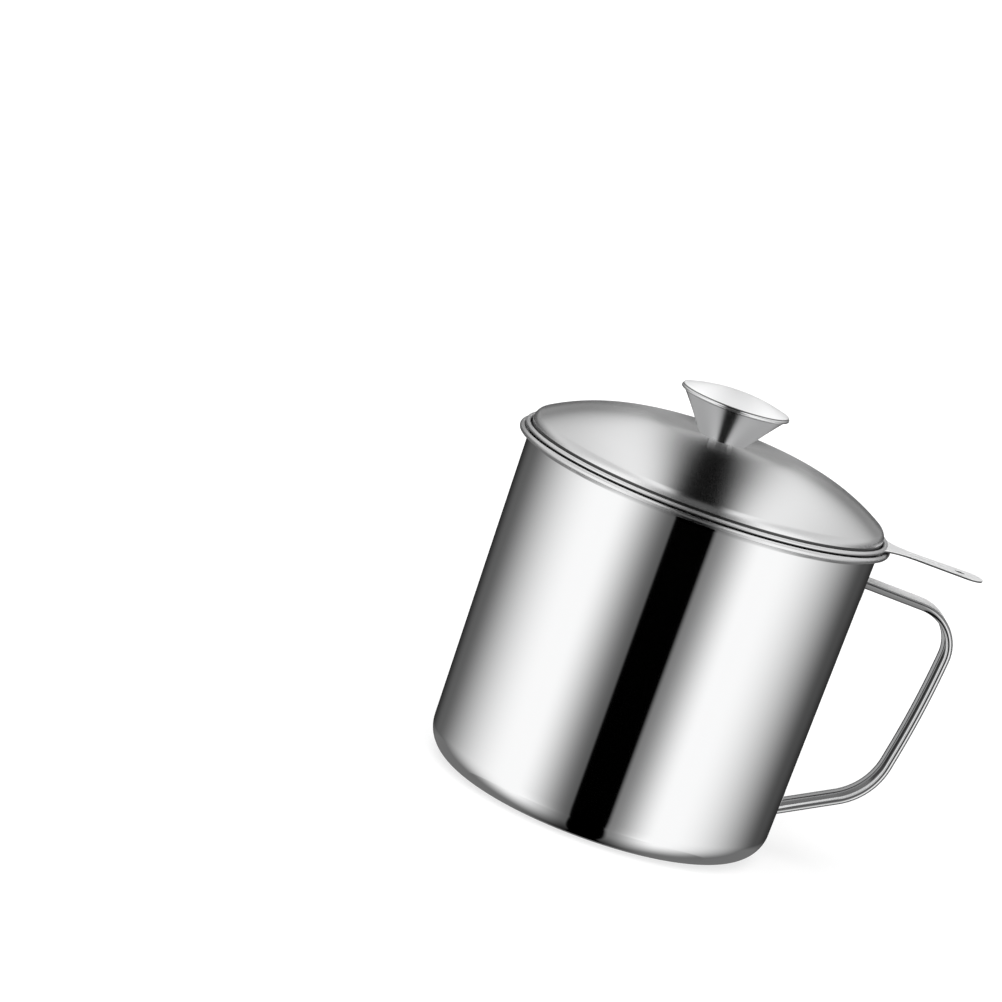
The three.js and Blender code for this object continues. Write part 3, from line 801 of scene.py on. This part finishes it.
# Net: fine steel wire, plain woven both ways, in the floor of the strainer.
WIRE = 0.15
NET_PITCH = 2
NET_RADIUS = 54.6
NET_HEIGHT = 87.9
NET_ROWS = 27
verts, faces = [], []
for way in (0, 1):
    for row in range(-NET_ROWS, NET_ROWS + 1):
        half_length = math.sqrt(NET_RADIUS ** 2 - (row * NET_PITCH) ** 2)
        count = int(half_length * 2 / NET_PITCH)
        for step in range(-count, count + 1):
            along, across = step * NET_PITCH / 2, row * NET_PITCH
            lift = WIRE * math.cos(math.pi * (along / NET_PITCH + row)) * (1 - 2 * way)
            for side in range(4):
                a = math.pi / 2 * side
                spot = (along, across + WIRE * math.cos(a))
                u, v = spot if way == 0 else (spot[1], -spot[0])
                place, _, _, _ = on_strainer(u, v)
                place.z = NET_HEIGHT + lift + WIRE * math.sin(a)
                verts.append(place * MM)
            if step > -count:
                base = len(verts) - 8
                for side in range(4):
                    nxt = (side + 1) % 4
                    faces.append((base + side, base + nxt, base + nxt + 4, base + side + 4))
        first, last = len(verts) - 4 * (2 * count + 1), len(verts) - 4
        faces.append([first + side for side in (3, 2, 1, 0)])
        faces.append([last + side for side in range(4)])
net = smooth_piece("strainer_net", verts, faces)
wire_steel = polished_steel("wire_steel", 0.88, 0.24, 0.08, lines="Z", grain=1200)
placed(net, "strainer", "strainer_steel", wire_steel, "strainer_mesh")


# Clamp ring: a thin angle ring, rolled round the foot of the strainer to hold the net's edge.
CLAMP_RADIUS = 56.3
CLAMP_FOOT = 86.8
CLAMP_BEND = 88.5
CLAMP_TOP = (56.74, 91.7)
clamp = turned("clamp_ring", [
    (FLOOR_LIP, CLAMP_FOOT, 0.15),
    (CLAMP_RADIUS, CLAMP_FOOT, 0.6),
    (CLAMP_RADIUS, CLAMP_BEND),
    (*CLAMP_TOP, 0.15),
    (CLAMP_TOP[0] - STRAINER_SHEET, CLAMP_TOP[1], 0.15),
    (CLAMP_RADIUS - STRAINER_SHEET, CLAMP_BEND),
    (CLAMP_RADIUS - STRAINER_SHEET, CLAMP_FOOT + STRAINER_SHEET, 0.2),
    (FLOOR_LIP, CLAMP_FOOT + STRAINER_SHEET, 0.15),
])
placed(clamp, "strainer", "strainer_steel", strainer_steel, "mesh_clamp_ring")


# Lid: drawn and spun from one disc, with a flat crown, a round dome, a small shoulder and a
# short skirt that stands on the strainer's ledge. The spinning leaves fine circles on it.
LID_SHEET = 0.6
LID_RADIUS = 60.2
LID_FOOT = 112.5
LID_TOP = 127.8
CROWN_FLAT = 22
DOME_RADIUS = 70
SHOULDER_RADIUS = 3.5
SCREW_HOLE = 2.3
# The lid darkens from 112.1 to 114.7 mm, its skirt and the foot of its shoulder: painted shade for the shadow
# gap under the lid's edge.
lid_steel = polished_steel("spun_lid_steel", 0.96, 0.235, 0.02, depth=0.0004, spin=0.98, painted_shade_bands=[(113.4, 1.3)])
dome_centre = LID_TOP - DOME_RADIUS
shoulder_out = LID_RADIUS - SHOULDER_RADIUS - CROWN_FLAT
shoulder_up = math.sqrt((DOME_RADIUS - SHOULDER_RADIUS) ** 2 - shoulder_out ** 2)
shoulder_at = (CROWN_FLAT + shoulder_out, dome_centre + shoulder_up)
tilt = math.degrees(math.atan2(shoulder_up, shoulder_out))
lid = turned("lid", [
    (LID_RADIUS - LID_SHEET, LID_FOOT, 0.15),
    (LID_RADIUS, LID_FOOT, 0.15),
    ("arc", *shoulder_at, SHOULDER_RADIUS, 0, tilt, 12),
    ("arc", CROWN_FLAT, dome_centre, DOME_RADIUS, tilt, 90, 24),
    (SCREW_HOLE, LID_TOP),
    (SCREW_HOLE, LID_TOP - LID_SHEET),
    ("arc", CROWN_FLAT, dome_centre, DOME_RADIUS - LID_SHEET, 90, tilt, 20),
    ("arc", *shoulder_at, SHOULDER_RADIUS - LID_SHEET, tilt, 0, 8),
])
placed(lid, "lid", "polished_steel", lid_steel, "lid_shell")


# Knob: a hollow cone that stands on the lid, closed by a domed cap crimped over its edge. The
# cone and the cap's turned-down edge are mirror polished, and the cap has a soft satin top.
KNOB_STEPS = 160
CONE_FOOT = (8.3, 128.1)
CONE_TOP = (17.75, 140.7)
CONE_SHEET = 0.5
CAP_RADIUS = 18.4
CAP_TOP = 144.4
CAP_RISE = 2.9
CAP_SHEET = 0.5
# The cone darkens in a band just under the cap's edge: painted shade.
knob_steel = polished_steel("knob_steel", 0.57, 0.05, 0.015, depth=0.0002, painted_shade_bands=[(140.2, 0.3)])
cone = turned("cone", [
    (SCREW_HOLE, CONE_FOOT[1]),
    (*CONE_FOOT, 0.3),
    ("bend", (8.55, 128.5), (12.6, 134.6), CONE_TOP, 16),
    (CONE_TOP[0] - 0.6, CONE_TOP[1]),
    (CONE_FOOT[0], CONE_FOOT[1] + CONE_SHEET),
    (SCREW_HOLE, CONE_FOOT[1] + CONE_SHEET),
], KNOB_STEPS)
placed(cone, "lid", "polished_steel", knob_steel, "knob_cone")
CRIMP_HEIGHT = 141.3
# A band round the cap's edge, where it meets the crimp, is darkened: painted shade.
cap_steel = polished_steel("satin_cap_steel", 0.97, 0.32, 0.05, depth=0.0006, metal=0.4,
                           painted_shade_bands=[(141.5, 0.28)])
edge_steel = polished_steel("cap_edge_steel", 0.96, 0.08, 0.02, depth=0.0003)
cap_dome = (CAP_RADIUS ** 2 + CAP_RISE ** 2) / (2 * CAP_RISE)
cap_centre = CAP_TOP - cap_dome
cap_edge = math.degrees(math.acos((CAP_RADIUS - 0.4) / cap_dome))
cap = turned("cap", [
    (0, CAP_TOP - CAP_SHEET),
    ("arc", 0, cap_centre, cap_dome - CAP_SHEET, 90, cap_edge + 1.5, 10),
    (17.45, CRIMP_HEIGHT),
    (17.95, CRIMP_HEIGHT, 0.1),
    ("arc", 0, cap_centre, cap_dome, cap_edge, 90, 20),
], KNOB_STEPS)
placed(cap, "lid", "polished_steel", cap_steel, "knob_cap")
cap_rim = turned("cap_edge", [
    (17.45, CRIMP_HEIGHT),
    (17.4, 140.35, 0.1),
    (17.7, 140.25, 0.1),
    ("arc", 17.85, 140.83, 0.53, -75, 85, 14),
], KNOB_STEPS)
placed(cap_rim, "lid", "polished_steel", edge_steel, "knob_cap")

# The photograph shows no image of the knob in the lid
for piece in (cone, cap, cap_rim):
    piece.visible_glossy = False


# Fastening: a pan-head screw through a washer under the lid, and a nut inside the cone. They are
# plain turned and stamped stainless steel, a little duller than the polished pieces, and their colour
# is darkened as painted shade for the shadow inside the cone and under the lid.
fastener_dull_steel_painted_shade = polished_steel("plain_dull_steel_painted_shade", 0.55, 0.34, 0.1, grain=1600, depth=0.002)
for name in ("knob_screw", "screw_washer", "knob_nut"):
    for part_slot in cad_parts[name].material_slots:
        part_slot.material = fastener_dull_steel_painted_shade
